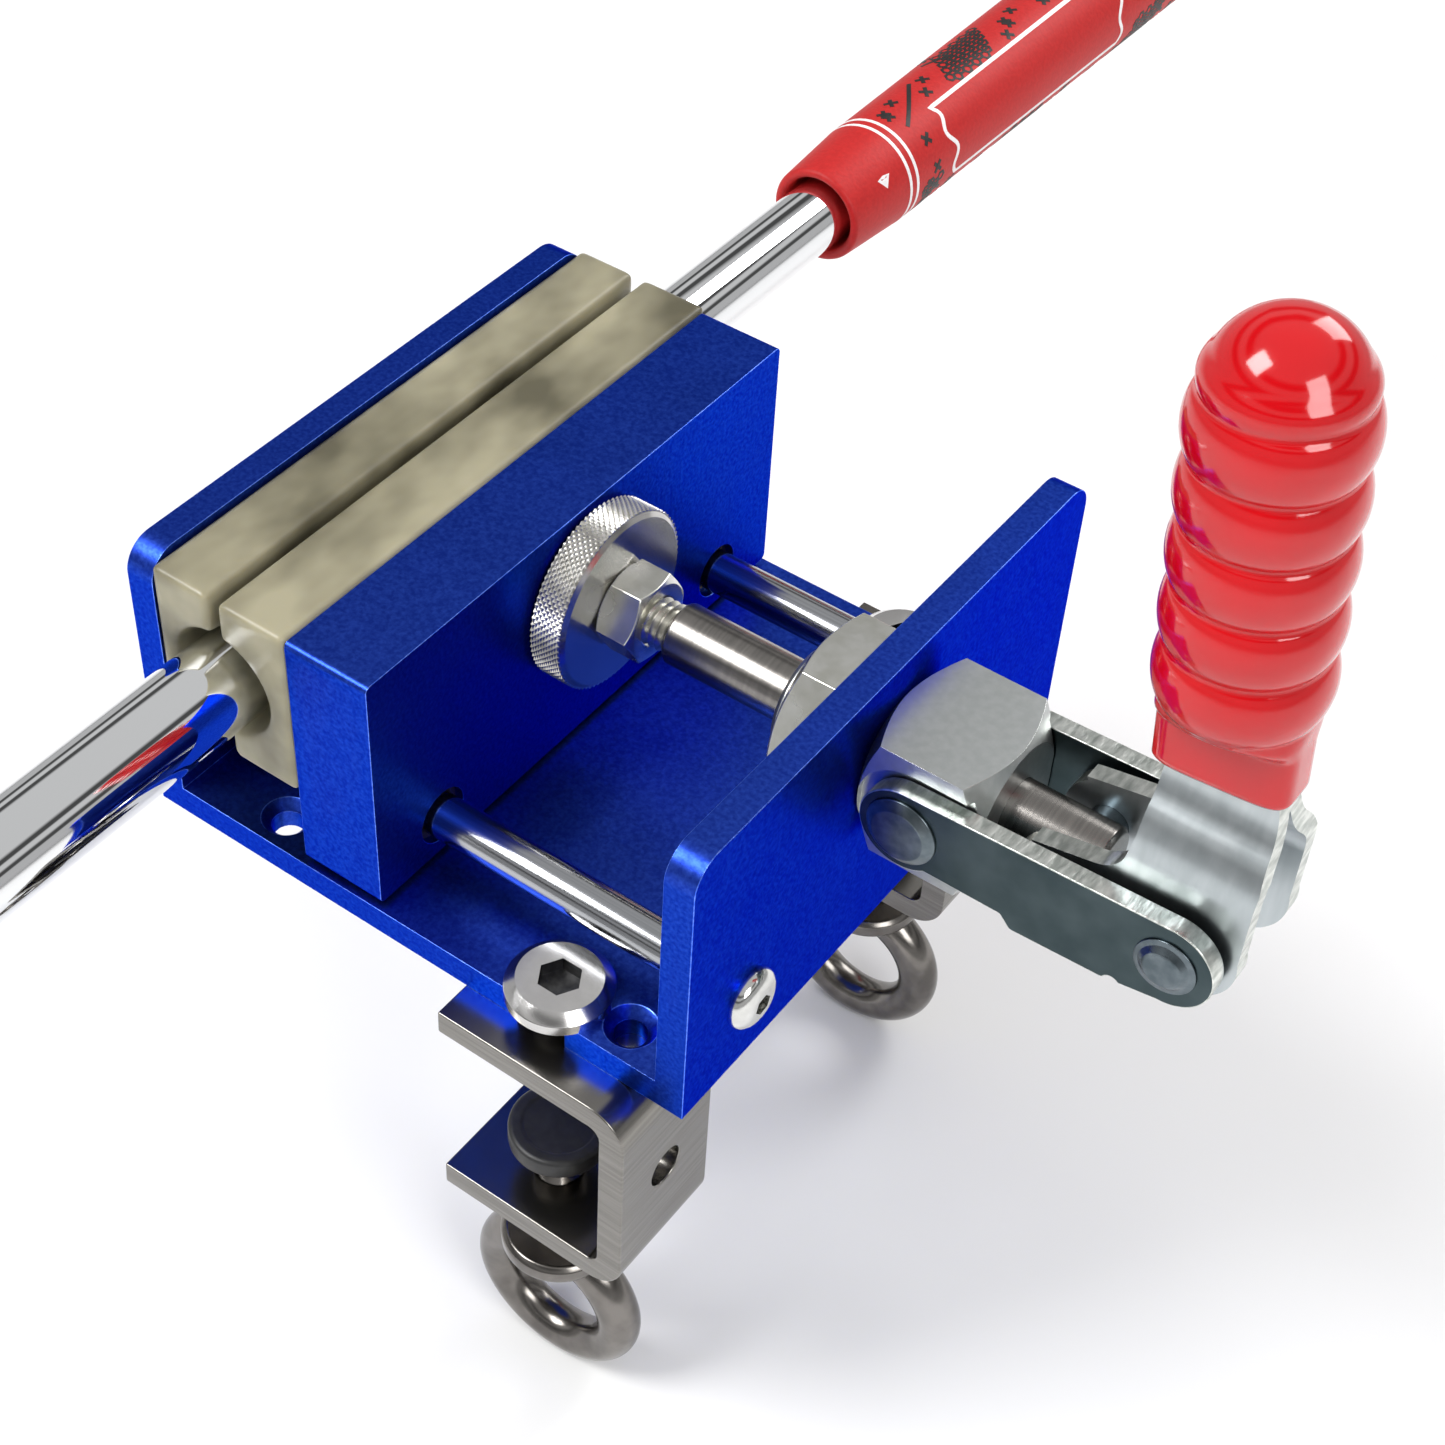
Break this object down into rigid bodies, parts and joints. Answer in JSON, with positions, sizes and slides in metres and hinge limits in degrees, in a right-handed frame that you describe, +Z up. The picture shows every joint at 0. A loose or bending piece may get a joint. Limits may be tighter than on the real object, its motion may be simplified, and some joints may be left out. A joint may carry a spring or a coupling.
{
  "type": "golf regripping vise with club grip",
  "caption": "Toggle-clamp bench vise with urethane jaws on table-edge brackets, holding a golf club shaft with its rubber grip.",
  "frame": {"origin": "middle of the base plate's underside", "axes": "+X along the clamp plunger towards the hand lever, +Y along the club towards the butt of the grip, +Z up"},
  "size_m": [0.1619, 0.4722, 0.2172],
  "materials": {
    "blue_anodised": "satin, bead blasted",
    "urethane": "smooth, cloudy",
    "ground_steel": "ground",
    "chrome_screws": "polished",
    "bush_bronze": "machined",
    "zinc_steel": "zinc plated",
    "rivet_steel": "zinc plated",
    "plunger_steel": "turned",
    "knurled_steel": "knurled rim",
    "red_vinyl": "glossy dipped vinyl",
    "bracket_steel": "bright rolled",
    "black_plastic": "moulded",
    "club_chrome": "polished",
    "grip_tape": "paper tape",
    "grip_rubber": "moulded, patterned"
  },
  "bodies": {
    "vise_frame": {"u_frame": "blue_anodised", "fixed_jaw_pad": "urethane", "guide_rod_near": "ground_steel", "guide_rod_far": "ground_steel", "rod_screws_front": "chrome_screws", "rod_screws_back": "chrome_screws", "clamp_body": "zinc_steel", "body_lock_nut": "zinc_steel", "bracket_near": "bracket_steel", "bracket_far": "bracket_steel", "bracket_bolt_near": "chrome_screws", "bracket_bolt_far": "chrome_screws"},
    "plunger": {"plunger": "plunger_steel", "lever_pin": "rivet_steel"},
    "jaw_carriage": {"moving_jaw_block": "blue_anodised", "moving_jaw_pad": "urethane", "guide_bush_near": "bush_bronze", "guide_bush_far": "bush_bronze"},
    "adjuster": {"adjuster_stud": "zinc_steel", "knurled_disc": "knurled_steel", "disc_lock_nut": "zinc_steel", "retaining_clip": "rivet_steel"},
    "hand_lever": {"lever": "zinc_steel", "lever_grip": "red_vinyl"},
    "links": {"link_near": "zinc_steel", "link_far": "zinc_steel", "body_rivets": "rivet_steel", "lever_rivets": "rivet_steel"},
    "pressure_pad_near": {"pressure_pad_near": "black_plastic"},
    "eye_bolt_near": {"eye_bolt_near": "bracket_steel"},
    "pressure_pad_far": {"pressure_pad_far": "black_plastic"},
    "eye_bolt_far": {"eye_bolt_far": "bracket_steel"},
    "club": {"club_shaft": "club_chrome", "grip_tape": "grip_tape"},
    "grip": {"golf_grip": "grip_rubber", "grip_end_cap": "grip_rubber"}
  },
  "joints": [
    {"name": "plunger_slide", "type": "slide", "parent": "vise_frame", "child": "plunger", "axis": [1, 0, 0], "range_m": [0, 0.01449]},
    {"name": "lever_swing", "type": "hinge", "parent": "plunger", "child": "hand_lever", "pos_m": [0.0816, 0, 0.0348], "axis": [0, 1, 0], "range_deg": [0, 95]},
    {"name": "link_fold", "type": "hinge", "parent": "hand_lever", "child": "links", "pos_m": [0.1006, 0, 0.0363], "axis": [0, 1, 0], "range_deg": [-65.23, 0]},
    {"name": "jaw_feed", "type": "slide", "parent": "plunger", "child": "jaw_carriage", "axis": [1, 0, 0], "range_m": [0, 0.0035]},
    {"name": "adjuster_turn", "type": "hinge", "parent": "jaw_carriage", "child": "adjuster", "pos_m": [0, 0, 0.0348], "axis": [1, 0, 0], "range_deg": [0, 1008.1]},
    {"name": "screw_feed_near", "type": "slide", "parent": "vise_frame", "child": "pressure_pad_near", "axis": [0, 0, 1], "range_m": [-0.006, 0.011]},
    {"name": "eye_turn_near", "type": "hinge", "parent": "pressure_pad_near", "child": "eye_bolt_near", "pos_m": [0.0251, -0.0455, -0.0718], "axis": [0, 0, 1], "range_deg": [-1728.1, 3168.1]},
    {"name": "screw_feed_far", "type": "slide", "parent": "vise_frame", "child": "pressure_pad_far", "axis": [0, 0, 1], "range_m": [-0.006, 0.011]},
    {"name": "eye_turn_far", "type": "hinge", "parent": "pressure_pad_far", "child": "eye_bolt_far", "pos_m": [0.0251, 0.0455, -0.0718], "axis": [0, 0, 1], "range_deg": [-1728.1, 3168.1]},
    {"name": "club_slide", "type": "slide", "parent": "vise_frame", "child": "club", "axis": [0, 1, 0], "range_m": [-0.045, 0.045]},
    {"name": "grip_slide", "type": "slide", "parent": "club", "child": "grip", "axis": [0, 1, 0], "range_m": [0, 0.265]}
  ],
  "couplings": [
    {"joint": "plunger_slide", "follows": "lever_swing", "m_per_rad": 0.0087415},
    {"joint": "link_fold", "follows": "lever_swing", "ratio": -0.68658},
    {"joint": "adjuster_turn", "follows": "jaw_feed", "rad_per_m": 5026.5},
    {"joint": "eye_turn_near", "follows": "screw_feed_near", "rad_per_m": 5026.5},
    {"joint": "eye_turn_far", "follows": "screw_feed_far", "rad_per_m": 5026.5}
  ]
}
